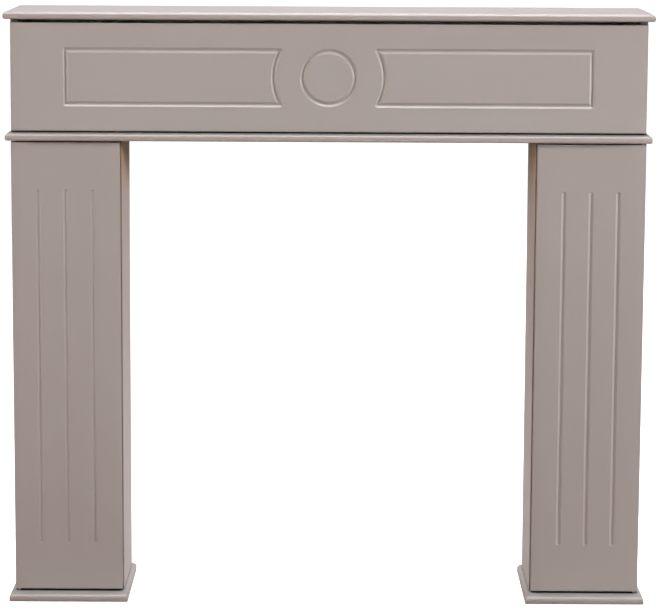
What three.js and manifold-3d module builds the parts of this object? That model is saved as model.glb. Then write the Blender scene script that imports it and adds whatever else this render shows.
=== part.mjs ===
// A freestanding fireplace mantelpiece of painted board, in millimetres, with +Z up.
// The front faces -Y. The origin is on the floor, midway along the width and the depth.
// The frieze and both legs are hollow: the frieze front is a top-hung flap, and each leg has a door.
import * as THREE from 'three';
import { mergeVertices } from 'three/addons/utils/BufferGeometryUtils.js';
import Module from 'manifold-3d';

// Heights, from the floor up
const BOARD = 12;
const LEG_HEIGHT = 737.5;
const FRIEZE_CLEAR_HEIGHT = 180.5;

// Widths, and depths from the wall forwards
const BODY_WIDTH = 1013.6;
const LEG_WIDTH = 176;
const BODY_DEPTH = 191.3;
const TOP_SIDE_OVERHANG = 8.2;
const TOP_FRONT_OVERHANG = 21.7;
const STRING_SIDE_OVERHANG = 7;
const STRING_FRONT_OVERHANG = 21.5;
const BASE_SIDE_OVERHANG = 8;
const BASE_FRONT_OVERHANG = 26.2;
const BACK_PANEL = 6;
const BACK_PANEL_RECESS = 0.8;

// Round edges of the shelf boards and base plates, and the eased edges of the flat boards
const TOP_ROUND = 6;
const UNDER_ROUND = 3.2;
const BASE_ARRIS = 0.6;
const PANEL_EASE = 1;
const CARCASS_EASE = 0.6;

// Gaps around the opening fronts, and between fixed pieces that touch
const FLAP_TOP_GAP = 5.9;
const FLAP_BOTTOM_GAP = 2.1;
const FLAP_END_REVEAL = 0.8;
const DOOR_TOP_GAP = 3.3;
const DOOR_BOTTOM_GAP = 3;
const DOOR_INNER_REVEAL = 2.4;
const FRONT_BACK_GAP = 2;
const JOINT_GAP = 0.3;

// Routed grooves: width at the face, width of the flat floor and depth
const PANEL_GROOVE = { width: 8.2, floor: 2.2, depth: 2.4 };
const FLUTE = { width: 8, floor: 2, depth: 1.6 };
const PANEL_GROOVE_END_MARGIN = 87.8;
const PANEL_GROOVE_EDGE_MARGIN = 43.4;
const ROUNDEL_RADIUS = 42;
const PANEL_ARC_RADIUS = 88.2;
const FLUTES_PER_DOOR = 3;
const FLUTE_SPACING = 43.5;
const FLUTE_END_MARGIN = 76;

// Steel pivots of the doors
const DOOR_PIN_RADIUS = 2;
const DOOR_PIN_EDGE_INSET = 5.5;
const DOOR_PIN_IN_DOOR = 14;
const DOOR_PIN_IN_BOARD = 7;
const PIN_RUNNING_CLEARANCE = 0.06;
const PIN_SEAT_CLEARANCE = 0.3;
const BLIND_END_CLEARANCE = 0.5;

// Steel pivot plates and pins of the frieze flap
const FLAP_PIN_RADIUS = 1.5;
const FLAP_PIN_LENGTH = 22;
const FLAP_PIN_BELOW_EDGE = 4.5;
const PLATE_THICKNESS = 2;
const PLATE_NOSE_RADIUS = 3;
const PLATE_LENGTH = 46;
const PLATE_HEIGHT = 18;
const PLATE_SETBACK = 4;
const NOSE_CLEARANCE = 0.6;
const SCREW_SPACING = 26;
const SCREW_SHANK_RADIUS = 1.7;
const SCREW_SHANK_LENGTH = 9;
const SCREW_HEAD_RADIUS = 3.3;
const SCREW_HEAD_HEIGHT = 1.6;

// Facets of the round shapes
const ROUNDEL_SEGMENTS = 72;
const ARC_SEGMENTS = 120;
const CONE_SEGMENTS = 16;
const PIN_SEGMENTS = 16;
const EDGE_SEGMENTS = 5;

// Levels and faces worked out from the sizes above
const STRING_UNDERSIDE = BOARD + LEG_HEIGHT;
const STRING_TOP = STRING_UNDERSIDE + BOARD;
const TOP_UNDERSIDE = STRING_TOP + FRIEZE_CLEAR_HEIGHT;
const HEIGHT = TOP_UNDERSIDE + BOARD;
const DEPTH = BODY_DEPTH + BASE_FRONT_OVERHANG;
const BACK_Y = DEPTH / 2;
const PANEL_FRONT_Y = BACK_Y - BODY_DEPTH;
const PANEL_BACK_Y = PANEL_FRONT_Y + BOARD;
const CARCASS_FRONT_Y = PANEL_BACK_Y + FRONT_BACK_GAP;
const BODY_HALF = BODY_WIDTH / 2;
const LEG_INNER = BODY_HALF - LEG_WIDTH;
const CUTTER_LIFT = 1;

const wasm = await Module();
wasm.setup();

const paint = (name) => new THREE.MeshStandardMaterial({ name, color: 0xa39a95, roughness: 0.5 });
const steel = () => new THREE.MeshStandardMaterial({ name: 'steel', color: 0x8d8f92, roughness: 0.35, metalness: 1 });

// A closed three.js geometry as a solid that can be cut
function toSolid(geometry) {
  geometry.deleteAttribute('normal');
  geometry.deleteAttribute('uv');
  const merged = mergeVertices(geometry, 1e-4);
  return new wasm.Manifold(new wasm.Mesh({
    numProp: 3,
    vertProperties: new Float32Array(merged.attributes.position.array),
    triVerts: new Uint32Array(merged.index.array),
  }));
}

function toGeometry(solid) {
  const mesh = solid.getMesh();
  const geometry = new THREE.BufferGeometry();
  geometry.setAttribute('position', new THREE.BufferAttribute(mesh.vertProperties, 3));
  geometry.setIndex(new THREE.BufferAttribute(mesh.triVerts, 1));
  geometry.computeVertexNormals();
  return geometry;
}

// An outline pushed along one axis: its two numbers run along the other two axes.
// Along x they are y and z, along y they are x and z, and along z they are x and y.
function prism(points, axis, from, to, ease = 0) {
  const shape = new THREE.Shape(points.map(([u, v]) => new THREE.Vector2(u, v)));
  const geometry = new THREE.ExtrudeGeometry(shape, {
    depth: to - from - 2 * ease,
    bevelEnabled: ease > 0,
    bevelThickness: ease,
    bevelSize: ease,
    bevelOffset: -ease,
    bevelSegments: 1,
    curveSegments: 1,
  });
  geometry.translate(0, 0, ease);
  const turn = {
    x: new THREE.Matrix4().makeBasis(
      new THREE.Vector3(0, 1, 0), new THREE.Vector3(0, 0, 1), new THREE.Vector3(1, 0, 0)),
    y: new THREE.Matrix4().makeBasis(
      new THREE.Vector3(1, 0, 0), new THREE.Vector3(0, 0, 1), new THREE.Vector3(0, -1, 0)),
    z: new THREE.Matrix4(),
  }[axis];
  geometry.applyMatrix4(turn);
  const start = axis === 'y' ? to : from;
  geometry.translate(axis === 'x' ? start : 0, axis === 'y' ? start : 0, axis === 'z' ? start : 0);
  return toSolid(geometry);
}

const rectangle = ([u0, u1], [v0, v1]) => [[u0, v0], [u1, v0], [u1, v1], [u0, v1]];

// A flat board with eased edges round its two faces, thin along one axis
function board(x, y, z, thin, ease) {
  const faces = { x: [y, z, x], y: [x, z, y], z: [x, y, z] };
  const [u, v, w] = faces[thin];
  return prism(rectangle(u, v), thin, w[0], w[1], ease);
}

// A straight block used to cut or to limit another shape
const block = (x, y, z) => board(x, y, z, 'z', 0);

// A quarter round, as points from one angle to another about a centre
function arcPoints(centreU, centreV, radius, fromDeg, toDeg) {
  const points = [];
  for (let i = 0; i <= EDGE_SEGMENTS; i += 1) {
    const angle = THREE.MathUtils.degToRad(fromDeg + (toDeg - fromDeg) * i / EDGE_SEGMENTS);
    points.push([centreU + radius * Math.cos(angle), centreV + radius * Math.sin(angle)]);
  }
  return points;
}

// The section of a board whose low-u end is rounded over, and its high-u end too if asked
function edgeSection([u0, u1], [z0, z1], over, under, bothEnds) {
  const low = [
    ...arcPoints(u0 + over, z1 - over, over, 90, 180),
    ...arcPoints(u0 + under, z0 + under, under, 180, 270),
  ];
  const high = bothEnds ? [
    ...arcPoints(u1 - under, z0 + under, under, 270, 360),
    ...arcPoints(u1 - over, z1 - over, over, 0, 90),
  ] : [[u1, z0], [u1, z1]];
  return [...low, ...high];
}

// A shelf board or base plate: rounded over at the front and both ends, square at the back
function roundedBoard(x, y, z, over, under) {
  const fromTheSide = prism(edgeSection(y, z, over, under, false), 'x', x[0], x[1]);
  const fromTheFront = prism(edgeSection(x, z, over, under, true), 'y', y[0], y[1]);
  return fromTheSide.intersect(fromTheFront);
}

// A round rod or bore between two places along an axis
function rod(axis, centre, radius, from, to, segments = PIN_SEGMENTS, endRadius = radius) {
  const geometry = new THREE.CylinderGeometry(endRadius, radius, to - from, segments);
  geometry.translate(0, (to + from) / 2, 0);
  if (axis === 'z') geometry.rotateX(Math.PI / 2);
  if (axis === 'x') geometry.rotateZ(-Math.PI / 2);
  geometry.translate(...centre);
  return toSolid(geometry);
}

// A bore whose flats clear a pin of the given radius by the given amount
function bore(axis, centre, radius, clearance, from, to) {
  const flatRadius = (radius + clearance) / Math.cos(Math.PI / PIN_SEGMENTS);
  return rod(axis, centre, flatRadius, from, to);
}

// The half section of a routed groove, as [distance from the middle, depth below the face].
// It starts above the face with the same slope, so that the cutter passes through it.
function grooveSection(groove) {
  const slope = (groove.width - groove.floor) / 2 / groove.depth;
  return {
    lifted: groove.width / 2 + slope * CUTTER_LIFT,
    lift: CUTTER_LIFT,
    floor: groove.floor / 2,
    depth: groove.depth,
  };
}

// The cutter of a straight groove in a front panel, from one place to another along x or z
function straightGroove(groove, axis, middle, from, to) {
  const cut = grooveSection(groove);
  const top = PANEL_FRONT_Y - cut.lift;
  const floor = PANEL_FRONT_Y + cut.depth;
  if (axis === 'x') {
    const across = [
      [top, middle - cut.lifted], [floor, middle - cut.floor],
      [floor, middle + cut.floor], [top, middle + cut.lifted],
    ];
    return prism(across, 'x', from, to);
  }
  const across = [
    [middle - cut.lifted, top], [middle + cut.lifted, top],
    [middle + cut.floor, floor], [middle - cut.floor, floor],
  ];
  return prism(across, 'z', from, to);
}

// The conical end that a pointed router bit leaves where a groove stops or turns
function grooveEnd(groove, x, z) {
  const cut = grooveSection(groove);
  const geometry = new THREE.CylinderGeometry(cut.floor, cut.lifted, cut.depth + cut.lift, CONE_SEGMENTS);
  geometry.translate(x, PANEL_FRONT_Y + (cut.depth - cut.lift) / 2, z);
  return toSolid(geometry);
}

// The cutter of a ring groove about a point of the frieze front
function ringGroove(groove, x, z, radius, segments) {
  const cut = grooveSection(groove);
  const profile = [
    [radius - cut.lifted, -cut.lift], [radius + cut.lifted, -cut.lift],
    [radius + cut.floor, cut.depth], [radius - cut.floor, cut.depth],
    [radius - cut.lifted, -cut.lift],
  ].map(([r, y]) => new THREE.Vector2(r, y));
  const geometry = new THREE.LatheGeometry(profile, segments);
  geometry.translate(x, PANEL_FRONT_Y, z);
  return toSolid(geometry);
}

const joinAll = (solids) => solids.reduce((joined, next) => joined.add(next));

// Places of the frieze flap, its grooves and its pivot line
const flap = {
  x: [-BODY_HALF + FLAP_END_REVEAL, BODY_HALF - FLAP_END_REVEAL],
  y: [PANEL_FRONT_Y, PANEL_BACK_Y],
  z: [STRING_TOP + FLAP_BOTTOM_GAP, TOP_UNDERSIDE - FLAP_TOP_GAP],
};
const flapPivot = { y: (PANEL_FRONT_Y + PANEL_BACK_Y) / 2, z: flap.z[1] - FLAP_PIN_BELOW_EDGE };
const plateInner = BODY_HALF - BOARD - JOINT_GAP - PLATE_THICKNESS;
const plateMiddle = plateInner + PLATE_THICKNESS / 2;

// One routed panel beside the roundel: three straight sides, and a hollow curved end
function sidePanelGrooves(side) {
  const groove = PANEL_GROOVE;
  const middle = (flap.z[0] + flap.z[1]) / 2;
  const halfHeight = (flap.z[1] - flap.z[0]) / 2 - PANEL_GROOVE_EDGE_MARGIN;
  const outer = flap.x[1] - PANEL_GROOVE_END_MARGIN;
  const tip = Math.sqrt(PANEL_ARC_RADIUS ** 2 - halfHeight ** 2);
  const span = side < 0 ? [-outer, -tip] : [tip, outer];
  const reach = side < 0 ? [-PANEL_ARC_RADIUS - groove.width, 0] : [0, PANEL_ARC_RADIUS + groove.width];
  const ring = ringGroove(groove, 0, middle, PANEL_ARC_RADIUS, ARC_SEGMENTS);
  const arc = ring.intersect(block(
    reach, [PANEL_FRONT_Y - BOARD, PANEL_BACK_Y], [middle - halfHeight, middle + halfHeight]));
  const cuts = [arc, straightGroove(groove, 'z', side * outer, middle - halfHeight, middle + halfHeight)];
  for (const end of [-1, 1]) {
    const z = middle + end * halfHeight;
    cuts.push(straightGroove(groove, 'x', z, span[0], span[1]));
    cuts.push(grooveEnd(groove, side * outer, z));
    cuts.push(grooveEnd(groove, side * tip, z));
  }
  return joinAll(cuts);
}

// The slot behind the flap's face that the fixed nose swings through, open behind and above
function noseSlot(side) {
  const reach = PLATE_NOSE_RADIUS + NOSE_CLEARANCE;
  const half = PLATE_THICKNESS / 2 + NOSE_CLEARANCE;
  return block(
    [side * plateMiddle - half, side * plateMiddle + half],
    [flapPivot.y - reach, PANEL_BACK_Y + CUTTER_LIFT],
    [flapPivot.z - reach, flap.z[1] + CUTTER_LIFT]);
}

// The flap pin lies across the slot, as far into the flap on either side
const flapPinSpan = (side) => [
  side * plateMiddle - FLAP_PIN_LENGTH / 2,
  side * plateMiddle + FLAP_PIN_LENGTH / 2,
];

function friezeFlap() {
  const middle = (flap.z[0] + flap.z[1]) / 2;
  let panel = board(flap.x, flap.y, flap.z, 'y', PANEL_EASE);
  panel = panel.subtract(ringGroove(PANEL_GROOVE, 0, middle, ROUNDEL_RADIUS, ROUNDEL_SEGMENTS));
  for (const side of [-1, 1]) {
    const [from, to] = flapPinSpan(side);
    const bore0 = from - BLIND_END_CLEARANCE;
    const bore1 = to + BLIND_END_CLEARANCE;
    const centre = [0, flapPivot.y, flapPivot.z];
    panel = panel.subtract(sidePanelGrooves(side));
    panel = panel.subtract(noseSlot(side));
    panel = panel.subtract(bore('x', centre, FLAP_PIN_RADIUS, PIN_SEAT_CLEARANCE, bore0, bore1));
  }
  return panel;
}

// A steel plate on the end board's inner face, whose round nose reaches into the flap
const plateY = CARCASS_FRONT_Y + PLATE_SETBACK;
const screwY = (index) => plateY + PLATE_LENGTH / 2 + (index - 0.5) * SCREW_SPACING;

function pivotPlate(side) {
  const inner = Math.min(side * plateInner, side * (plateInner + PLATE_THICKNESS));
  const x = [inner, inner + PLATE_THICKNESS];
  const top = flapPivot.z + PLATE_NOSE_RADIUS;
  const outline = [
    ...arcPoints(flapPivot.y, flapPivot.z, PLATE_NOSE_RADIUS, 90, 180),
    ...arcPoints(flapPivot.y, flapPivot.z, PLATE_NOSE_RADIUS, 180, 270).slice(1),
    [plateY, flapPivot.z - PLATE_NOSE_RADIUS],
    [plateY, top - PLATE_HEIGHT],
    [plateY + PLATE_LENGTH, top - PLATE_HEIGHT],
    [plateY + PLATE_LENGTH, top],
  ];
  let plate = prism(outline, 'x', x[0], x[1]);
  const pivot = [0, flapPivot.y, flapPivot.z];
  const past = [x[0] - CUTTER_LIFT, x[1] + CUTTER_LIFT];
  plate = plate.subtract(bore('x', pivot, FLAP_PIN_RADIUS, PIN_RUNNING_CLEARANCE, past[0], past[1]));
  for (const index of [0, 1]) {
    const centre = [0, screwY(index), top - PLATE_HEIGHT / 2];
    plate = plate.subtract(bore('x', centre, SCREW_SHANK_RADIUS, PIN_SEAT_CLEARANCE, past[0], past[1]));
  }
  return plate;
}

// A round-headed screw, revolved about its own axis and laid along x, its point outwards
function plateScrew(side, index) {
  const headBase = JOINT_GAP;
  const head = [[0, headBase + SCREW_HEAD_HEIGHT]];
  for (let i = 1; i <= EDGE_SEGMENTS; i += 1) {
    const angle = Math.PI / 2 * i / EDGE_SEGMENTS;
    head.push([SCREW_HEAD_RADIUS * Math.sin(angle), headBase + SCREW_HEAD_HEIGHT * Math.cos(angle)]);
  }
  const profile = [
    ...head, [SCREW_SHANK_RADIUS, headBase],
    [SCREW_SHANK_RADIUS, -SCREW_SHANK_LENGTH + SCREW_SHANK_RADIUS], [0, -SCREW_SHANK_LENGTH],
  ].reverse().map(([r, y]) => new THREE.Vector2(r, y));
  const geometry = new THREE.LatheGeometry(profile, PIN_SEGMENTS);
  geometry.rotateZ(side * Math.PI / 2);
  const z = flapPivot.z + PLATE_NOSE_RADIUS - PLATE_HEIGHT / 2;
  geometry.translate(side * plateInner, screwY(index), z);
  return toSolid(geometry);
}

function friezeEnd(side) {
  const faces = [side * (BODY_HALF - BOARD), side * BODY_HALF].sort((a, b) => a - b);
  const z = [STRING_TOP + JOINT_GAP, TOP_UNDERSIDE - JOINT_GAP];
  let end = board(faces, [CARCASS_FRONT_Y, BACK_Y], z, 'x', CARCASS_EASE);
  const depth = SCREW_SHANK_LENGTH - PLATE_THICKNESS - JOINT_GAP + BLIND_END_CLEARANCE;
  const bottom = side * (BODY_HALF - BOARD + depth);
  const mouth = side * (BODY_HALF - BOARD - CUTTER_LIFT);
  for (const index of [0, 1]) {
    const centre = [0, screwY(index), flapPivot.z + PLATE_NOSE_RADIUS - PLATE_HEIGHT / 2];
    const [from, to] = [bottom, mouth].sort((a, b) => a - b);
    end = end.subtract(bore('x', centre, SCREW_SHANK_RADIUS, PIN_SEAT_CLEARANCE, from, to));
  }
  return end;
}

function friezeBack() {
  const half = BODY_HALF - BOARD - JOINT_GAP;
  const y = [BACK_Y - BACK_PANEL_RECESS - BACK_PANEL, BACK_Y - BACK_PANEL_RECESS];
  return board([-half, half], y, [STRING_TOP + JOINT_GAP, TOP_UNDERSIDE - JOINT_GAP], 'y', 0);
}

// Places of one leg's door; side is -1 for the left leg and 1 for the right one
function doorPlace(side) {
  const outer = side * BODY_HALF;
  const inner = side * (LEG_INNER + DOOR_INNER_REVEAL);
  return {
    x: [outer, inner].sort((a, b) => a - b),
    y: [PANEL_FRONT_Y, PANEL_BACK_Y],
    z: [BOARD + DOOR_BOTTOM_GAP, STRING_UNDERSIDE - DOOR_TOP_GAP],
    pivot: [side * (BODY_HALF - DOOR_PIN_EDGE_INSET), (PANEL_FRONT_Y + PANEL_BACK_Y) / 2, 0],
  };
}

// The two pivot pins of a door, as spans of height
function doorPinSpans(side) {
  const { z } = doorPlace(side);
  return {
    top: [z[1] - DOOR_PIN_IN_DOOR, STRING_UNDERSIDE + DOOR_PIN_IN_BOARD],
    bottom: [BOARD - DOOR_PIN_IN_BOARD, z[0] + DOOR_PIN_IN_DOOR],
  };
}

function legDoor(side) {
  const place = doorPlace(side);
  const spans = doorPinSpans(side);
  const middle = (place.x[0] + place.x[1]) / 2;
  const span = [
    place.z[0] + FLUTE_END_MARGIN + FLUTE.width / 2,
    place.z[1] - FLUTE_END_MARGIN - FLUTE.width / 2,
  ];
  let door = board(place.x, place.y, place.z, 'y', PANEL_EASE);
  for (let i = 0; i < FLUTES_PER_DOOR; i += 1) {
    const x = middle + (i - (FLUTES_PER_DOOR - 1) / 2) * FLUTE_SPACING;
    const cuts = [straightGroove(FLUTE, 'z', x, span[0], span[1])];
    cuts.push(grooveEnd(FLUTE, x, span[0]), grooveEnd(FLUTE, x, span[1]));
    door = door.subtract(joinAll(cuts));
  }
  const topBore = [spans.top[0] - BLIND_END_CLEARANCE, place.z[1] + CUTTER_LIFT];
  const bottomBore = [place.z[0] - CUTTER_LIFT, spans.bottom[1] + BLIND_END_CLEARANCE];
  for (const [from, to] of [topBore, bottomBore]) {
    door = door.subtract(bore('z', place.pivot, DOOR_PIN_RADIUS, PIN_SEAT_CLEARANCE, from, to));
  }
  return door;
}

function legSide(side, isOuter) {
  const faces = isOuter ? [BODY_HALF - BOARD, BODY_HALF] : [LEG_INNER, LEG_INNER + BOARD];
  const x = faces.map((place) => side * place).sort((a, b) => a - b);
  const z = [BOARD + JOINT_GAP, STRING_UNDERSIDE - JOINT_GAP];
  return board(x, [CARCASS_FRONT_Y, BACK_Y], z, 'x', CARCASS_EASE);
}

function legBack(side) {
  const faces = [LEG_INNER + BOARD + JOINT_GAP, BODY_HALF - BOARD - JOINT_GAP];
  const x = faces.map((place) => side * place).sort((a, b) => a - b);
  const y = [BACK_Y - BACK_PANEL_RECESS - BACK_PANEL, BACK_Y - BACK_PANEL_RECESS];
  return board(x, y, [BOARD + JOINT_GAP, STRING_UNDERSIDE - JOINT_GAP], 'y', 0);
}

function basePlate(side) {
  const faces = [LEG_INNER - BASE_SIDE_OVERHANG, BODY_HALF + BASE_SIDE_OVERHANG];
  const x = faces.map((place) => side * place).sort((a, b) => a - b);
  const plate = roundedBoard(x, [-BACK_Y, BACK_Y], [0, BOARD], TOP_ROUND, BASE_ARRIS);
  const from = doorPinSpans(side).bottom[0] - BLIND_END_CLEARANCE;
  const { pivot } = doorPlace(side);
  return plate.subtract(
    bore('z', pivot, DOOR_PIN_RADIUS, PIN_RUNNING_CLEARANCE, from, BOARD + CUTTER_LIFT));
}

function topShelf() {
  const half = BODY_HALF + TOP_SIDE_OVERHANG;
  const y = [PANEL_FRONT_Y - TOP_FRONT_OVERHANG, BACK_Y];
  return roundedBoard([-half, half], y, [TOP_UNDERSIDE, HEIGHT], TOP_ROUND, UNDER_ROUND);
}

function stringShelf() {
  const half = BODY_HALF + STRING_SIDE_OVERHANG;
  const y = [PANEL_FRONT_Y - STRING_FRONT_OVERHANG, BACK_Y];
  let shelf = roundedBoard([-half, half], y, [STRING_UNDERSIDE, STRING_TOP], TOP_ROUND, UNDER_ROUND);
  for (const side of [-1, 1]) {
    const to = doorPinSpans(side).top[1] + BLIND_END_CLEARANCE;
    const { pivot } = doorPlace(side);
    shelf = shelf.subtract(
      bore('z', pivot, DOOR_PIN_RADIUS, PIN_RUNNING_CLEARANCE, STRING_UNDERSIDE - CUTTER_LIFT, to));
  }
  return shelf;
}

function addPiece(group, name, solid, material) {
  const mesh = new THREE.Mesh(toGeometry(solid), material);
  mesh.name = name;
  group.add(mesh);
}

function addFrieze(group) {
  addPiece(group, 'top_shelf', topShelf(), paint('shelf_paint'));
  addPiece(group, 'string_shelf', stringShelf(), paint('shelf_paint'));
  addPiece(group, 'frieze_back', friezeBack(), paint('back_board'));
  addPiece(group, 'frieze_flap', friezeFlap(), paint('front_paint'));
  for (const [side, label] of [[-1, 'left'], [1, 'right']]) {
    addPiece(group, `frieze_end_${label}`, friezeEnd(side), paint('carcass_paint'));
    addPiece(group, `flap_pivot_plate_${label}`, pivotPlate(side), steel());
    const [from, to] = flapPinSpan(side);
    const pin = rod('x', [0, flapPivot.y, flapPivot.z], FLAP_PIN_RADIUS, from, to);
    addPiece(group, `flap_pin_${label}`, pin, steel());
    for (const index of [0, 1]) {
      addPiece(group, `plate_screw_${label}_${index + 1}`, plateScrew(side, index), steel());
    }
  }
}

function addLeg(group, side, label) {
  addPiece(group, `base_plate_${label}`, basePlate(side), paint('shelf_paint'));
  addPiece(group, `leg_outer_side_${label}`, legSide(side, true), paint('carcass_paint'));
  addPiece(group, `leg_inner_side_${label}`, legSide(side, false), paint('carcass_paint'));
  addPiece(group, `leg_back_${label}`, legBack(side), paint('back_board'));
  addPiece(group, `leg_door_${label}`, legDoor(side), paint('front_paint'));
  const spans = doorPinSpans(side);
  const { pivot } = doorPlace(side);
  for (const end of ['top', 'bottom']) {
    const pin = rod('z', pivot, DOOR_PIN_RADIUS, spans[end][0], spans[end][1]);
    addPiece(group, `door_pin_${end}_${label}`, pin, steel());
  }
}

const mantelpiece = new THREE.Group();
addFrieze(mantelpiece);
addLeg(mantelpiece, -1, 'left');
addLeg(mantelpiece, 1, 'right');

export default mantelpiece;
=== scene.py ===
"""A painted fireplace mantelpiece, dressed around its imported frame, in metres."""
import math

import bmesh
import bpy
import numpy as np
from mathutils import Matrix, Vector


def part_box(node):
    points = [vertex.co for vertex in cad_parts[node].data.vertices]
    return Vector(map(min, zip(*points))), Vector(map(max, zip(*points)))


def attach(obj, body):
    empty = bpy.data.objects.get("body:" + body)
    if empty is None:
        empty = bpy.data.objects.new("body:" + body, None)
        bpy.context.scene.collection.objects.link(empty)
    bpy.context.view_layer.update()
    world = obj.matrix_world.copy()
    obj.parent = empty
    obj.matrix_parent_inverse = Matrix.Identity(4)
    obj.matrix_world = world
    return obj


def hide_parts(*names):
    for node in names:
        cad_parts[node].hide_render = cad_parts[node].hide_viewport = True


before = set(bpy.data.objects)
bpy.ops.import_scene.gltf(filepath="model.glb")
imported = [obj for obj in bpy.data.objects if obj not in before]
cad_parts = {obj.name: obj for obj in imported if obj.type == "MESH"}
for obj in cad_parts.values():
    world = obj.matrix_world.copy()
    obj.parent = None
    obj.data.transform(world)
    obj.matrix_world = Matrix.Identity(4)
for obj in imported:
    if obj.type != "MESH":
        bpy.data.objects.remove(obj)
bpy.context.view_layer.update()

MM = 0.001

# Camera, found by fitting the object's measured edges in the photograph
PHOTO_WIDTH = 656
FOCAL_PIXELS = 2848
SENSOR_WIDTH = 36
CAMERA_PLACE = (0.0087, -4.6048, 1.1803)
CAMERA_PITCH = math.radians(8.713)
CAMERA_YAW = math.radians(0.107)
CAMERA_ROLL = math.radians(0.273)

# Routed grooves: width at the face, width of the floor and depth, as in the solids
PANEL_GROOVE = {"width": 8.2 * MM, "floor": 2.2 * MM, "depth": 2.4 * MM}
FLUTE = {"width": 8 * MM, "floor": 2 * MM, "depth": 1.6 * MM}
PANEL_GROOVE_END_MARGIN = 87.8 * MM
PANEL_GROOVE_EDGE_MARGIN = 43.4 * MM
ROUNDEL_RADIUS = 42 * MM
PANEL_ARC_RADIUS = 88.2 * MM
FLUTES_PER_DOOR = 3
FLUTE_SPACING = 43.5 * MM
FLUTE_END_MARGIN = 76 * MM

# Softened groove arrises, as shares of the width of a groove's sloping side
GROOVE_SOFTNESS = 0.07
GROOVE_FADE_OUT = 0.8
GROOVE_FADE_SPAN = 0.5

# Spacing of the panels' grid lines: fine over the flap's and doors' grooves, coarse in the open
PANEL_GRID = 0.66 * MM
DOOR_GRID = 0.45 * MM
OPEN_GRID = 24 * MM
COUNT_SLACK = 1e-6

# How far the fine lines reach: as a share of a groove's half width, and of a flute's width at its ends
GROOVE_REACH = 1.25
FLUTE_END_REACH = 0.75

# Edges of the boards
PANEL_EDGE_RADIUS = 1 * MM
EDGE_STEPS = 4
TOP_ROUND = 6 * MM
UNDER_ROUND = 3.2 * MM
BASE_ARRIS = 0.6 * MM
CORNER_RADIUS = 1.2 * MM
CORNER_TAPER = 0.15
LEAST_CORNER_RADIUS = 0.3 * MM
ROUND_STEPS = 10
SHARP_ANGLE = math.radians(35)
MERGE_DISTANCE = 1e-6
SLIVER_LENGTH = 1e-7

# Slots and bores that the pivots turn in
SLOT_WIDTH = 3.2 * MM
SLOT_DEPTH = 9.6 * MM
SLOT_HEIGHT = 8.1 * MM
PIVOT_BORE_RADIUS = 2.06 * MM
PIVOT_BORE_DEPTH = 7.5 * MM
BORE_SIDES = 32
CUTTER_OVERSHOOT = 1 * MM

# Colours, linear
PAINT = (0.420, 0.370, 0.352)
PAINT_INSIDE = (0.320, 0.279, 0.253)
STEEL = (0.52, 0.53, 0.54)
# Painted light: the paler, cooler tone laid on faces that look up
PAINTED_TOP_LIGHT_COLOUR = (0.500, 0.495, 0.490)
WHITE = (1, 1, 1, 1)

# Paints: colour, roughness, orange peel, openness where the painted crevice shade is full and where it
# ends, painted corner shade, painted light on tops
PAINTS = {
    "satin_paint_front": (PAINT, 0.46, 1.0, (0.34, 0.58), False, False),
    "satin_paint_shelf": (PAINT, 0.46, 0.3, (0.34, 0.58), False, False),
    "satin_paint_base": (PAINT, 0.46, 0.3, (0.34, 0.58), False, True),
    "satin_paint_carcass": (PAINT, 0.5, 1.0, (0.3, 0.75), False, False),
    "satin_paint_inner": (PAINT, 0.5, 1.0, (0.3, 0.75), True, False),
    "plain_paint_back": (PAINT_INSIDE, 0.6, 2.0, (0.34, 0.58), False, False),
}

# Noise patterns: scale, detail and roughness of the noise node
CLOUDS = (3.2, 3.0, 0.5)
MOTTLE = (38.0, 4.0, 0.6)
WORN_PATCHES = (60.0, 5.0, 0.7)
SHEEN_PATCHES = (24.0, 4.0, 0.6)
ORANGE_PEEL = (620.0, 2.0, 0.5)
PAINTED_TOP_LIGHT_PATCHES = (14.0, 4.0, 0.6)
PLATING_CLOUDS = (160.0, 3.0, 0.5)
STEEL_GRAIN = (2600.0, 3.0, 0.6)
FLOOR_CLOUDS = (0.6, 2.0, 0.5)
NOISE_SPAN = (0.3, 0.7)
WORN_SPAN = (0.46, 0.66)
PAINTED_TOP_LIGHT_SPAN = (0.3, 0.6)

# Shares of the paint's colour in its variations, and how strongly they show
CLOUD_LIGHT = 1.025
CLOUD_DARK = (0.975, 0.972, 0.968)
SPECK_DARK = 0.975
SPECK_STRENGTH = 0.25
RUBBED_LIGHT = 1.12
RUBBED_STRENGTH = 0.35
ROUGHNESS_BELOW = 0.02
ROUGHNESS_ABOVE = 0.03
PEEL_STRENGTH = 0.12
PEEL_HEIGHT = 0.12 * MM

# Arrises, found where the rounded normal no longer matches the true one
PAINT_ARRIS = 1.2 * MM
STEEL_ARRIS = 0.5 * MM
ARRIS_FLAT_MATCH = 0.995
ARRIS_TURNED_MATCH = 0.90
ARRIS_SAMPLES = 6

# Painted shade: near-black crevices, and warm darker corners that fade out towards the floor; painted
# light on faces that look up
PAINTED_CREVICE_SHADE_REACH = 15 * MM
PAINTED_CREVICE_SHADE_DARKNESS = 0.02
PAINTED_CORNER_SHADE_REACH = 120 * MM
PAINTED_CORNER_SHADE_TINT = (0.86, 0.58, 0.26)
PAINTED_CORNER_SHADE_OPENNESS = (0.62, 0.97)
PAINTED_CORNER_SHADE_FADE_HEIGHTS = (0.1, 0.3)
PAINTED_CORNER_SHADE_LEFT_LOW_DOWN = 0.12
OPENNESS_SAMPLES = 8
PAINTED_TOP_LIGHT_UPWARD = (0.6, 0.95)
PAINTED_TOP_LIGHT_LEAST_COVER = 0.8

# Zinc-plated steel
PLATING_DARK = 0.82
STEEL_EDGE_DARK = 0.6
STEEL_EDGE_STRENGTH = 0.5
STEEL_ROUGHNESS = (0.26, 0.44)
GRAIN_STRETCH = (1.0, 1.0, 0.08)
GRAIN_STRENGTH = 0.3
GRAIN_HEIGHT = 0.03 * MM

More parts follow.
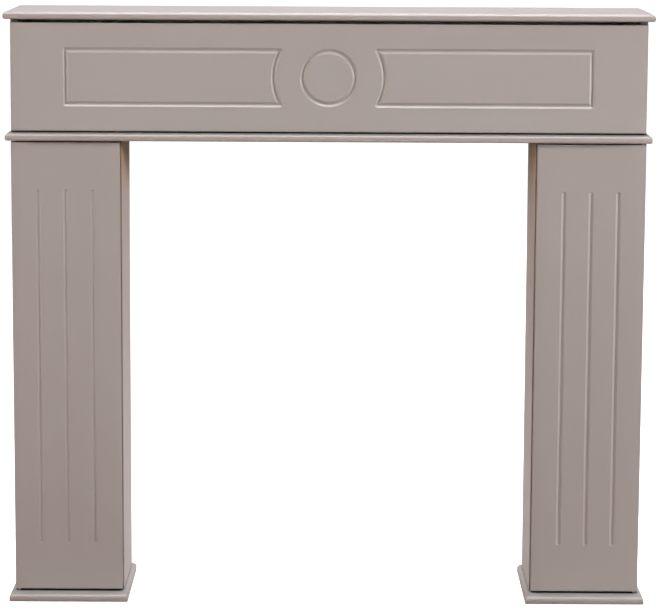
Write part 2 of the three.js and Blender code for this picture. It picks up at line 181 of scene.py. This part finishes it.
# Surroundings: faint light, neutral from above and reddish from below, and a white floor and backdrop
WORLD_BELOW = (0.16, 0.05, 0.02)
WORLD_ABOVE = (0.11, 0.12, 0.11)
WORLD_BLEND = (-0.2, 0.1)
BACKDROP_STRENGTH = 1.05
FLOOR_BOX = ((-40, -40, -0.02), (40, 60, 0))
FLOOR_DARK = (0.86, 0.86, 0.86)
FLOOR_LIGHT = (0.90, 0.90, 0.90)
FLOOR_ROUGHNESS = 0.9
FLOOR_GLOW_DISTANCES = (0.5, 1.6)
FLOOR_GLOW_NEAR = 0.9
FLOOR_GLOW_FAR = 1.05

# Lamps: place, target, size, watts for red, green and blue, spread in degrees, and what they light
LAMPS = {
    "key_right": ((4.6, -1.6, 1.36), (0, 0, 0.95), (0.5, 0.5), (77, 73, 72), 115, "all"),
    "fill_left": ((-4.2, -1.6, 1.36), (0, 0, 0.95), (1.2, 0.9), (44, 38, 34), 115, "all"),
    "soft_front": ((0, -6.5, 1.05), (0, 0, 1.5), (4.0, 0.6), (13.4, 15.6, 15.8), 60, "all"),
    "overhead": ((0, 0.6, 2.6), (0, 0, 0.9), (2.4, 0.8), (54, 54, 59), 180, "all"),
    "back_high": ((0, 3.6, 1.95), (0, 0, 0.9), (6.0, 1.8), (11.6, 10.8, 11.5), 180, "all"),
    "back_low": ((0, 4.5, 0.8), (0, 0, 0.5), (3.0, 1.0), (25, 25, 25), 180, "diffuse"),
    "sheen_top": ((0, -1.0, 3.1), (0, 0, 0.85), (3.0, 0.6), (205, 210, 216), 180, "gloss"),
}


def add_object(name, data):
    added = bpy.data.objects.new(name, data)
    bpy.context.scene.collection.objects.link(added)
    return added


def quarter_turn(steps):
    """Angles from 0 to 90 degrees in equal steps, both ends included."""
    return [i / steps * math.pi / 2 for i in range(steps + 1)]


def spaced(low, high, dense_spans, fine, coarse):
    """Grid lines from low to high: close together inside the dense spans, and far apart elsewhere."""
    marks = sorted({low, high, *[v for span in dense_spans for v in span]})
    lines = [low]
    for start, end in zip(marks, marks[1:]):
        middle = (start + end) / 2
        dense = any(a <= middle <= b for a, b in dense_spans)
        count = max(1, math.ceil((end - start) / (fine if dense else coarse) - COUNT_SLACK))
        lines.extend(start + (end - start) * (i + 1) / count for i in range(count))
    return np.array(lines)


def rounded_lines(low, high, dense_spans, fine, coarse, radius):
    """Grid lines with extra ones over the rounded edge at each end."""
    edge = radius * (1 - np.cos(quarter_turn(EDGE_STEPS)[:-1]))
    inner = spaced(low + radius, high - radius, dense_spans, fine, coarse)
    return np.concatenate([low + edge, inner, (high - edge)[::-1]])


def groove_depth(groove, distance):
    """Depth of a routed groove at a distance from its middle, with softened arrises."""
    slope = (groove["width"] - groove["floor"]) / 2
    t = (groove["width"] / 2 - distance) / slope

    def soft(u):
        return (u + np.sqrt(u * u + GROOVE_SOFTNESS ** 2)) / 2

    rise = soft(t) - soft(t - 1)
    faded = np.clip((t + GROOVE_FADE_OUT) / GROOVE_FADE_SPAN, 0, 1)
    return groove["depth"] * rise * faded


def groove_spans(groove, at):
    """Fine stretches across a groove, which put grid lines on its arrises."""
    half = groove["width"] / 2
    floor = groove["floor"] / 2
    marks = (-half * GROOVE_REACH, -half, -floor, floor, half, half * GROOVE_REACH)
    return [(at + a, at + b) for a, b in zip(marks, marks[1:])]


def edge_fall(inset, radius):
    """How far a rounded edge has fallen at a distance in from the edge."""
    reach = np.clip(radius - inset, 0, radius)
    return radius - np.sqrt(radius ** 2 - reach ** 2)


def segment_distance(x, z, start, end):
    """Distance of points from a straight stretch of a groove's middle line."""
    (ax, az), (bx, bz) = start, end
    length = (bx - ax) ** 2 + (bz - az) ** 2
    t = np.clip(((x - ax) * (bx - ax) + (z - az) * (bz - az)) / length, 0, 1)
    return np.hypot(x - ax - t * (bx - ax), z - az - t * (bz - az))


def frieze_layout(corners):
    """Middle height of the frieze's grooves, and half the height and half the length that they span."""
    (x0, _, z0), (x1, _, z1) = corners
    middle = (z0 + z1) / 2
    half = (z1 - z0) / 2 - PANEL_GROOVE_EDGE_MARGIN
    outer = (x1 - x0) / 2 - PANEL_GROOVE_END_MARGIN
    return middle, half, outer


def frieze_distance(x, z, middle, half, outer):
    """Distance from the nearest groove of the frieze: the ring and the two side panels."""
    tip = math.sqrt(PANEL_ARC_RADIUS ** 2 - half ** 2)
    from_middle = np.hypot(x, z - middle)
    distance = np.abs(from_middle - ROUNDEL_RADIUS)
    side = np.abs(x)
    for z_line in (middle - half, middle + half):
        distance = np.minimum(distance, segment_distance(side, z, (tip, z_line), (outer, z_line)))
    end = segment_distance(side, z, (outer, middle - half), (outer, middle + half))
    distance = np.minimum(distance, end)
    arc = np.where(np.abs(z - middle) <= half, np.abs(from_middle - PANEL_ARC_RADIUS), np.inf)
    return np.minimum(distance, arc)


def shade_by_angle(mesh):
    """Shades the round stretches smoothly and keeps the arrises sharp."""
    mesh.shade_smooth()
    mesh.set_sharp_from_angle(angle=SHARP_ANGLE)


def finished_mesh(name, points, faces):
    """A mesh with doubled points merged, its faces turned outwards, and shaded by angle."""
    mesh = bpy.data.meshes.new(name)
    mesh.from_pydata(points, [], faces)
    work = bmesh.new()
    work.from_mesh(mesh)
    bmesh.ops.remove_doubles(work, verts=work.verts, dist=MERGE_DISTANCE)
    bmesh.ops.dissolve_degenerate(work, edges=work.edges, dist=SLIVER_LENGTH)
    bmesh.ops.recalc_face_normals(work, faces=work.faces)
    work.to_mesh(mesh)
    work.free()
    shade_by_angle(mesh)
    return mesh


def panel_mesh(name, corners, x_spans, z_spans, fine, depth_at):
    """A front panel: a fine routed face, rounded edges, and a plain back."""
    (x0, y0, z0), (x1, y1, z1) = corners
    radius = PANEL_EDGE_RADIUS
    xs = rounded_lines(x0, x1, x_spans, fine, OPEN_GRID, radius)
    zs = rounded_lines(z0, z1, z_spans, fine, OPEN_GRID, radius)
    grid_x, grid_z = np.meshgrid(xs, zs, indexing="ij")
    fall_x = edge_fall(np.minimum(grid_x - x0, x1 - grid_x), radius)
    fall_z = edge_fall(np.minimum(grid_z - z0, z1 - grid_z), radius)
    lost_x = radius ** 2 - (radius - fall_x) ** 2
    lost_z = radius ** 2 - (radius - fall_z) ** 2
    fall = radius - np.sqrt(np.clip(radius ** 2 - (lost_x + lost_z), 0, None))
    grid_y = y0 + fall + depth_at(grid_x, grid_z)
    across, up = len(xs), len(zs)
    front = np.stack([grid_x, grid_y, grid_z], axis=-1).reshape(-1, 3)

    def index(i, j):
        return i * up + j

    faces = [
        (index(i, j), index(i + 1, j), index(i + 1, j + 1), index(i, j + 1))
        for i in range(across - 1) for j in range(up - 1)
    ]
    rim = [index(i, 0) for i in range(across)]
    rim += [index(across - 1, j) for j in range(1, up)]
    rim += [index(i, up - 1) for i in range(across - 2, -1, -1)]
    rim += [index(0, j) for j in range(up - 2, 0, -1)]
    points = [tuple(p) for p in front]
    previous = rim
    for angle in quarter_turn(EDGE_STEPS):
        inset = radius * (1 - math.cos(angle))
        y = y1 - radius + radius * math.sin(angle)
        ring = []
        for at in rim:
            x, _, z = front[at]
            x = min(max(x, x0 + inset), x1 - inset)
            z = min(max(z, z0 + inset), z1 - inset)
            ring.append(len(points))
            points.append((x, y, z))
        for k in range(len(rim)):
            after = (k + 1) % len(rim)
            faces.append((previous[after], previous[k], ring[k], ring[after]))
        previous = ring
    faces.append(tuple(reversed(previous)))
    return finished_mesh(name, points, faces)


def edge_profile(z0, z1, over, under):
    """The rounded edge of a shelf board, from its top to its underside, as (inset, height)."""
    top = [(over * (1 - math.sin(angle)), z1 - over + over * math.cos(angle))
           for angle in quarter_turn(ROUND_STEPS)]
    underside = [(under * (1 - math.cos(angle)), z0 + under - under * math.sin(angle))
                 for angle in quarter_turn(ROUND_STEPS)]
    return top + underside


def shelf_mesh(name, corners, over, under):
    """A board rounded over along its front and both ends, and square along its back."""
    (x0, y0, z0), (x1, y1, z1) = corners
    rings = []
    points = []
    for inset, z in edge_profile(z0, z1, over, under):
        radius = max(CORNER_RADIUS - inset * CORNER_TAPER, LEAST_CORNER_RADIUS)
        ring = [(x0 + inset, y1)]
        for centre_x, start in ((x0 + inset + radius, math.pi), (x1 - inset - radius, 1.5 * math.pi)):
            for turn in quarter_turn(EDGE_STEPS):
                angle = start + turn
                ring.append((
                    centre_x + radius * math.cos(angle),
                    y0 + inset + radius + radius * math.sin(angle)))
        ring.append((x1 - inset, y1))
        rings.append(list(range(len(points), len(points) + len(ring))))
        points.extend((x, y, z) for x, y in ring)
    faces = []
    for upper, lower in zip(rings, rings[1:]):
        for k in range(len(upper) - 1):
            faces.append((upper[k], lower[k], lower[k + 1], upper[k + 1]))
    faces.append(tuple(rings[0]))
    faces.append(tuple(reversed(rings[-1])))
    faces.append(tuple([r[0] for r in rings] + [r[-1] for r in reversed(rings)]))
    return finished_mesh(name, points, faces)


def plain_mesh(name, work):
    """Turns a bmesh into a mesh and frees it."""
    mesh = bpy.data.meshes.new(name)
    work.to_mesh(mesh)
    work.free()
    return mesh


def block_mesh(low, high):
    size = [b - a for a, b in zip(low, high)]
    centre = [(a + b) / 2 for a, b in zip(low, high)]
    work = bmesh.new()
    bmesh.ops.create_cube(work, size=1, matrix=Matrix.Translation(centre) @ Matrix.Diagonal((*size, 1)))
    return plain_mesh("block", work)


def upright_cylinder_mesh(x, y, low, high, radius):
    work = bmesh.new()
    bmesh.ops.create_cone(
        work, cap_ends=True, segments=BORE_SIDES, radius1=radius, radius2=radius, depth=high - low,
        matrix=Matrix.Translation((x, y, (low + high) / 2)))
    return plain_mesh("cylinder", work)


def cut_away(piece, cutter_meshes):
    """Cuts closed shapes out of a piece and keeps the result as its mesh."""
    for number, cutter_mesh in enumerate(cutter_meshes):
        cutter = add_object(f"cutter_{number}", cutter_mesh)
        modifier = piece.modifiers.new("cut", "BOOLEAN")
        modifier.operation = "DIFFERENCE"
        modifier.solver = "EXACT"
        modifier.object = cutter
        graph = bpy.context.evaluated_depsgraph_get()
        result = bpy.data.meshes.new_from_object(piece.evaluated_get(graph))
        piece.modifiers.clear()
        old = piece.data
        piece.data = result
        bpy.data.objects.remove(cutter)
        bpy.data.meshes.remove(cutter_mesh)
        bpy.data.meshes.remove(old)
    shade_by_angle(piece.data)


def scaled(colour, shares):
    """The colour times one share, or times a share for each of red, green and blue."""
    if not isinstance(shares, tuple):
        shares = (shares, shares, shares)
    return tuple(c * s for c, s in zip(colour, shares))


def link_value(tree, node, socket, value):
    """Gives a socket a fixed number or colour, or links another node's output to it."""
    if isinstance(value, (int, float, tuple)):
        node.inputs[socket].default_value = value
    else:
        tree.links.new(value, node.inputs[socket])


def noise(tree, coordinates, pattern):
    scale, detail, roughness = pattern
    node = tree.nodes.new("ShaderNodeTexNoise")
    node.inputs["Scale"].default_value = scale
    node.inputs["Detail"].default_value = detail
    node.inputs["Roughness"].default_value = roughness
    tree.links.new(coordinates, node.inputs["Vector"])
    return node.outputs["Fac"]


def spread(tree, value, low, high, out_low=0.0, out_high=1.0):
    """Maps a value between low and high to one between out_low and out_high, and no further."""
    node = tree.nodes.new("ShaderNodeMapRange")
    node.inputs["From Min"].default_value = low
    node.inputs["From Max"].default_value = high
    node.inputs["To Min"].default_value = out_low
    node.inputs["To Max"].default_value = out_high
    tree.links.new(value, node.inputs["Value"])
    return node.outputs["Result"]


def multiply(tree, a, b):
    node = tree.nodes.new("ShaderNodeMath")
    node.operation = "MULTIPLY"
    link_value(tree, node, 0, a)
    link_value(tree, node, 1, b)
    return node.outputs[0]


def blended(tree, factor, a, b):
    """Colour a where the factor is 0, and colour b where it is 1."""
    node = tree.nodes.new("ShaderNodeMix")
    node.data_type = "RGBA"
    link_value(tree, node, 0, factor)
    link_value(tree, node, 6, a if not isinstance(a, tuple) else (*a, 1.0))
    link_value(tree, node, 7, b if not isinstance(b, tuple) else (*b, 1.0))
    return node.outputs[2]


def height_of(tree, vector):
    """The Z part of a vector."""
    parts = tree.nodes.new("ShaderNodeSeparateXYZ")
    tree.links.new(vector, parts.inputs[0])
    return parts.outputs["Z"]


def seen_by_camera(tree):
    """1 for what the camera sees directly, and 0 for light and reflections."""
    return tree.nodes.new("ShaderNodeLightPath").outputs["Is Camera Ray"]


def new_material(name):
    material = bpy.data.materials.new(name)
    material.use_nodes = True
    tree = material.node_tree
    coordinates = tree.nodes.new("ShaderNodeTexCoord").outputs["Object"]
    return material, tree, tree.nodes["Principled BSDF"], coordinates


def add_bump(tree, shader, height, strength, distance):
    bump = tree.nodes.new("ShaderNodeBump")
    bump.inputs["Strength"].default_value = strength
    bump.inputs["Distance"].default_value = distance
    tree.links.new(height, bump.inputs["Height"])
    tree.links.new(bump.outputs["Normal"], shader.inputs["Normal"])


def edge_mask(tree, radius):
    """Near 1 along the arrises, where the rounded normal turns away from the true one."""
    rounded = tree.nodes.new("ShaderNodeBevel")
    rounded.samples = ARRIS_SAMPLES
    rounded.inputs["Radius"].default_value = radius
    shading_normal = tree.nodes.new("ShaderNodeNewGeometry").outputs["Normal"]
    product = tree.nodes.new("ShaderNodeVectorMath")
    product.operation = "DOT_PRODUCT"
    tree.links.new(rounded.outputs["Normal"], product.inputs[0])
    tree.links.new(shading_normal, product.inputs[1])
    return spread(tree, product.outputs["Value"], ARRIS_FLAT_MATCH, ARRIS_TURNED_MATCH)


def open_share(tree, reach):
    """How openly a point lies among what is nearer than the reach: 0 shut in, 1 in the open."""
    node = tree.nodes.new("ShaderNodeAmbientOcclusion")
    node.samples = OPENNESS_SAMPLES
    node.inputs["Distance"].default_value = reach
    return node.outputs["AO"]


def painted_corner_shade(tree, place):
    """Mask of a painted warm, darker shade: 1 deep in a corner and 0 in the open, and weak near the floor.
    """
    raised = spread(tree, height_of(tree, place), *PAINTED_CORNER_SHADE_FADE_HEIGHTS, PAINTED_CORNER_SHADE_LEFT_LOW_DOWN, 1.0)
    shut_in = spread(tree, open_share(tree, PAINTED_CORNER_SHADE_REACH), *PAINTED_CORNER_SHADE_OPENNESS, 1.0, 0.0)
    return multiply(tree, shut_in, raised)


def painted_top_light(tree, place):
    """Mask of painted light: a paler tone on faces that look up, uneven in patches, standing in for light
    from above.
    """
    true_normal = tree.nodes.new("ShaderNodeNewGeometry").outputs["True Normal"]
    upward = spread(tree, height_of(tree, true_normal), *PAINTED_TOP_LIGHT_UPWARD)
    patches = spread(tree, noise(tree, place, PAINTED_TOP_LIGHT_PATCHES), *PAINTED_TOP_LIGHT_SPAN, PAINTED_TOP_LIGHT_LEAST_COVER, 1.0)
    return multiply(tree, upward, patches)


def paint_material(name, colour, roughness, peel, painted_crevice_shade, with_corner_shade, with_top_light):
    """Satin paint: clouds, orange peel, rubbed arrises, painted shade in crevices, and if set a painted
    warm corner shade or painted light on tops.
    """
    material, tree, shader, place = new_material(name)
    cloud = spread(tree, noise(tree, place, CLOUDS), *NOISE_SPAN)
    mottle = spread(tree, noise(tree, place, MOTTLE), *NOISE_SPAN)
    base = blended(tree, cloud, scaled(colour, CLOUD_DARK), scaled(colour, CLOUD_LIGHT))
    speck = blended(tree, multiply(tree, mottle, SPECK_STRENGTH), base, scaled(colour, SPECK_DARK))
    arris = edge_mask(tree, PAINT_ARRIS)
    patches = spread(tree, noise(tree, place, WORN_PATCHES), *WORN_SPAN)
    rub = multiply(tree, multiply(tree, arris, patches), RUBBED_STRENGTH)
    worn_with_painted_light = blended(tree, rub, speck, scaled(colour, RUBBED_LIGHT))
    # Painted shade: a warm, darker tint deep in the corners under the boards
    if with_corner_shade:
        worn_with_painted_light = blended(tree, painted_corner_shade(tree, place), worn_with_painted_light, scaled(colour, PAINTED_CORNER_SHADE_TINT))
    # Painted light: a paler tone on faces that look up
    if with_top_light:
        worn_with_painted_light = blended(tree, painted_top_light(tree, place), worn_with_painted_light, PAINTED_TOP_LIGHT_COLOUR)
    # Painted shade: the colour falls to near black where a point is shut in, as in gaps and crevices
    clear = spread(tree, open_share(tree, PAINTED_CREVICE_SHADE_REACH), *painted_crevice_shade)
    with_painted_shade = blended(tree, clear, scaled(colour, PAINTED_CREVICE_SHADE_DARKNESS), worn_with_painted_light)
    tree.links.new(with_painted_shade, shader.inputs["Base Color"])
    sheen = spread(
        tree, noise(tree, place, SHEEN_PATCHES), *NOISE_SPAN,
        roughness - ROUGHNESS_BELOW, roughness + ROUGHNESS_ABOVE)
    tree.links.new(sheen, shader.inputs["Roughness"])
    add_bump(tree, shader, noise(tree, place, ORANGE_PEEL), PEEL_STRENGTH * peel, PEEL_HEIGHT)
    return material


def steel_material(name, colour):
    """Zinc-plated steel: a fine drawn grain, cloudy plating and darker edges."""
    material, tree, shader, place = new_material(name)
    stretched = tree.nodes.new("ShaderNodeMapping")
    stretched.inputs["Scale"].default_value = GRAIN_STRETCH
    tree.links.new(place, stretched.inputs["Vector"])
    grain = noise(tree, stretched.outputs["Vector"], STEEL_GRAIN)
    cloud = spread(tree, noise(tree, place, PLATING_CLOUDS), *NOISE_SPAN)
    base = blended(tree, cloud, scaled(colour, PLATING_DARK), colour)
    arris = edge_mask(tree, STEEL_ARRIS)
    darkened = multiply(tree, arris, STEEL_EDGE_STRENGTH)
    base = blended(tree, darkened, base, scaled(colour, STEEL_EDGE_DARK))
    tree.links.new(base, shader.inputs["Base Color"])
    shader.inputs["Metallic"].default_value = 1.0
    tree.links.new(spread(tree, grain, *NOISE_SPAN, *STEEL_ROUGHNESS), shader.inputs["Roughness"])
    add_bump(tree, shader, grain, GRAIN_STRENGTH, GRAIN_HEIGHT)
    return material


def floor_material():
    """A white studio floor that fades into the white backdrop away from the object."""
    material, tree, shader, place = new_material("studio_floor")
    shade = spread(tree, noise(tree, place, FLOOR_CLOUDS), *NOISE_SPAN)
    tree.links.new(blended(tree, shade, FLOOR_DARK, FLOOR_LIGHT), shader.inputs["Base Color"])
    shader.inputs["Roughness"].default_value = FLOOR_ROUGHNESS
    shader.inputs["Specular IOR Level"].default_value = 0.0
    shader.inputs["Emission Color"].default_value = WHITE
    distance = tree.nodes.new("ShaderNodeVectorMath")
    distance.operation = "LENGTH"
    tree.links.new(place, distance.inputs[0])
    glow = spread(
        tree, distance.outputs["Value"], *FLOOR_GLOW_DISTANCES, FLOOR_GLOW_NEAR, FLOOR_GLOW_FAR)
    tree.links.new(multiply(tree, seen_by_camera(tree), glow), shader.inputs["Emission Strength"])
    return material


def make_camera():
    """Makes the camera that was fitted to the photograph."""
    camera = add_object("camera", bpy.data.cameras.new("camera"))
    camera.data.sensor_fit = "HORIZONTAL"
    camera.data.sensor_width = SENSOR_WIDTH
    camera.data.lens = FOCAL_PIXELS / PHOTO_WIDTH * SENSOR_WIDTH
    forward = Vector((-math.sin(CAMERA_YAW), math.cos(CAMERA_YAW), 0))
    right = Vector((math.cos(CAMERA_YAW), math.sin(CAMERA_YAW), 0))
    up = Vector((0, 0, 1))
    look = math.cos(CAMERA_PITCH) * forward - math.sin(CAMERA_PITCH) * up
    over = math.sin(CAMERA_PITCH) * forward + math.cos(CAMERA_PITCH) * up
    rolled_right = math.cos(CAMERA_ROLL) * right + math.sin(CAMERA_ROLL) * over
    rolled_up = math.cos(CAMERA_ROLL) * over - math.sin(CAMERA_ROLL) * right
    turn = Matrix((rolled_right, rolled_up, -look)).transposed().to_4x4()
    camera.matrix_world = Matrix.Translation(CAMERA_PLACE) @ turn
    bpy.context.scene.camera = camera


def area_light(name, place, target, size, watts, spread_degrees, lights):
    """A rectangular lamp that the camera doesn't see, lighting all, the diffuse part or the gloss."""
    light = bpy.data.lights.new(name, "AREA")
    light.shape = "RECTANGLE"
    light.size, light.size_y = size
    light.energy = max(watts)
    light.color = tuple(w / max(watts) for w in watts)
    light.spread = math.radians(spread_degrees)
    lamp = add_object(name, light)
    lamp.location = place
    lamp.rotation_euler = (Vector(target) - Vector(place)).to_track_quat("-Z", "Y").to_euler()
    lamp.visible_camera = False
    lamp.visible_diffuse = lights != "gloss"
    lamp.visible_glossy = lights != "diffuse"


def make_world():
    """Faint light, neutral from above and reddish from below, and a white backdrop for the camera."""
    world = bpy.data.worlds.new("studio")
    bpy.context.scene.world = world
    world.use_nodes = True
    tree = world.node_tree
    tree.nodes.clear()
    place = tree.nodes.new("ShaderNodeTexCoord").outputs["Generated"]
    colour = blended(tree, spread(tree, height_of(tree, place), *WORLD_BLEND), WORLD_BELOW, WORLD_ABOVE)
    soft = tree.nodes.new("ShaderNodeBackground")
    tree.links.new(colour, soft.inputs["Color"])
    seen = tree.nodes.new("ShaderNodeBackground")
    seen.inputs["Color"].default_value = WHITE
    seen.inputs["Strength"].default_value = BACKDROP_STRENGTH
    mixed = tree.nodes.new("ShaderNodeMixShader")
    tree.links.new(seen_by_camera(tree), mixed.inputs["Fac"])
    tree.links.new(soft.outputs[0], mixed.inputs[1])
    tree.links.new(seen.outputs[0], mixed.inputs[2])
    tree.links.new(mixed.outputs[0], tree.nodes.new("ShaderNodeOutputWorld").inputs["Surface"])


def make_stage():
    floor = add_object("floor", block_mesh(*FLOOR_BOX))
    floor.data.materials.append(floor_material())
    floor.visible_diffuse = False
    make_world()
    for name, values in LAMPS.items():
        area_light(name, *values)


def dress(piece, node, body, material):
    """Gives a piece its material, hangs it on the body it rides on, and hides the node that it replaces.
    """
    piece.data.materials.clear()
    piece.data.materials.append(material)
    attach(piece, body)
    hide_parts(node)


def panel_piece(name, node, body, material, x_spans, z_spans, fine, depth_at):
    mesh = panel_mesh(name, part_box(node), x_spans, z_spans, fine, depth_at)
    piece = add_object(name, mesh)
    dress(piece, node, body, material)
    return piece


def make_flap(material):
    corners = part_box("frieze_flap")
    y1, z1 = corners[1][1], corners[1][2]
    middle, half, outer = frieze_layout(corners)
    centre_reach = PANEL_ARC_RADIUS + PANEL_GROOVE["width"]
    x_spans = [(-centre_reach, centre_reach)]
    x_spans += groove_spans(PANEL_GROOVE, -outer) + groove_spans(PANEL_GROOVE, outer)
    z_spans = [(middle - half, middle + half)]
    z_spans += groove_spans(PANEL_GROOVE, middle - half) + groove_spans(PANEL_GROOVE, middle + half)

    def depth_at(x, z):
        return groove_depth(PANEL_GROOVE, frieze_distance(x, z, middle, half, outer))

    flap = panel_piece(
        "flap_panel", "frieze_flap", "flap", material, x_spans, z_spans, PANEL_GRID, depth_at)
    slots = []
    for node in ("flap_pivot_plate_left", "flap_pivot_plate_right"):
        (low_x, _, _), (high_x, _, _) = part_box(node)
        slot_x = (low_x + high_x) / 2
        slots.append(block_mesh(
            (slot_x - SLOT_WIDTH / 2, y1 - SLOT_DEPTH, z1 - SLOT_HEIGHT),
            (slot_x + SLOT_WIDTH / 2, y1 + CUTTER_OVERSHOOT, z1 + CUTTER_OVERSHOOT)))
    cut_away(flap, slots)


def make_door(label, material):
    node = f"leg_door_{label}"
    (x0, _, z0), (x1, _, z1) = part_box(node)
    middle = (x0 + x1) / 2
    flutes = [middle + (i - (FLUTES_PER_DOOR - 1) / 2) * FLUTE_SPACING for i in range(FLUTES_PER_DOOR)]
    low = z0 + FLUTE_END_MARGIN + FLUTE["width"] / 2
    high = z1 - FLUTE_END_MARGIN - FLUTE["width"] / 2
    reach = FLUTE["width"] * FLUTE_END_REACH

    def depth_at(x, z):
        distance = np.full_like(x, np.inf)
        for at in flutes:
            distance = np.minimum(distance, segment_distance(x, z, (at, low), (at, high)))
        return groove_depth(FLUTE, distance)

    x_spans = [span for at in flutes for span in groove_spans(FLUTE, at)]
    z_spans = [(end - reach, end + reach) for end in (low, high)]
    panel_piece(
        f"door_panel_{label}", node, f"door_{label}", material, x_spans, z_spans, DOOR_GRID, depth_at)


def make_shelf(name, node, material, over, under, bores):
    """A rounded board that replaces its node, bored for the door pins that turn in it."""
    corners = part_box(node)
    bottom, top = corners[0][2], corners[1][2]
    piece = add_object(name, shelf_mesh(name, corners, over, under))
    cutters = []
    for pin, from_below in bores:
        (px0, py0, _), (px1, py1, _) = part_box(pin)
        low = bottom - CUTTER_OVERSHOOT if from_below else top - PIVOT_BORE_DEPTH
        high = bottom + PIVOT_BORE_DEPTH if from_below else top + CUTTER_OVERSHOOT
        cutters.append(upright_cylinder_mesh(
            (px0 + px1) / 2, (py0 + py1) / 2, low, high, PIVOT_BORE_RADIUS))
    if cutters:
        cut_away(piece, cutters)
    dress(piece, node, "carcass", material)


def paint_nodes(names, material):
    for name in names:
        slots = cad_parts[name].data.materials
        slots.clear()
        slots.append(material)


def make_mantelpiece():
    paints = {name: paint_material(name, *values) for name, values in PAINTS.items()}
    steel = steel_material("zinc_plated_steel", STEEL)
    front = paints["satin_paint_front"]
    shelf = paints["satin_paint_shelf"]
    base = paints["satin_paint_base"]
    make_flap(front)
    for label in ("left", "right"):
        make_door(label, front)
        make_shelf(
            f"base_board_{label}", f"base_plate_{label}", base, TOP_ROUND, BASE_ARRIS,
            [(f"door_pin_bottom_{label}", False)])
    make_shelf("top_board", "top_shelf", shelf, TOP_ROUND, UNDER_ROUND, [])
    make_shelf("string_board", "string_shelf", shelf, TOP_ROUND, UNDER_ROUND, [
        ("door_pin_top_left", True), ("door_pin_top_right", True)])
    outer_sides = [f"{piece}_{label}" for label in ("left", "right")
                   for piece in ("frieze_end", "leg_outer_side")]
    paint_nodes(outer_sides, paints["satin_paint_carcass"])
    paint_nodes(["leg_inner_side_left", "leg_inner_side_right"], paints["satin_paint_inner"])
    paint_nodes(["frieze_back", "leg_back_left", "leg_back_right"], paints["plain_paint_back"])
    metal = [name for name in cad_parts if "pin" in name or "plate_screw" in name or "pivot" in name]
    paint_nodes(metal, steel)


bpy.context.scene.view_settings.view_transform = "Standard"
make_camera()
make_mantelpiece()
make_stage()
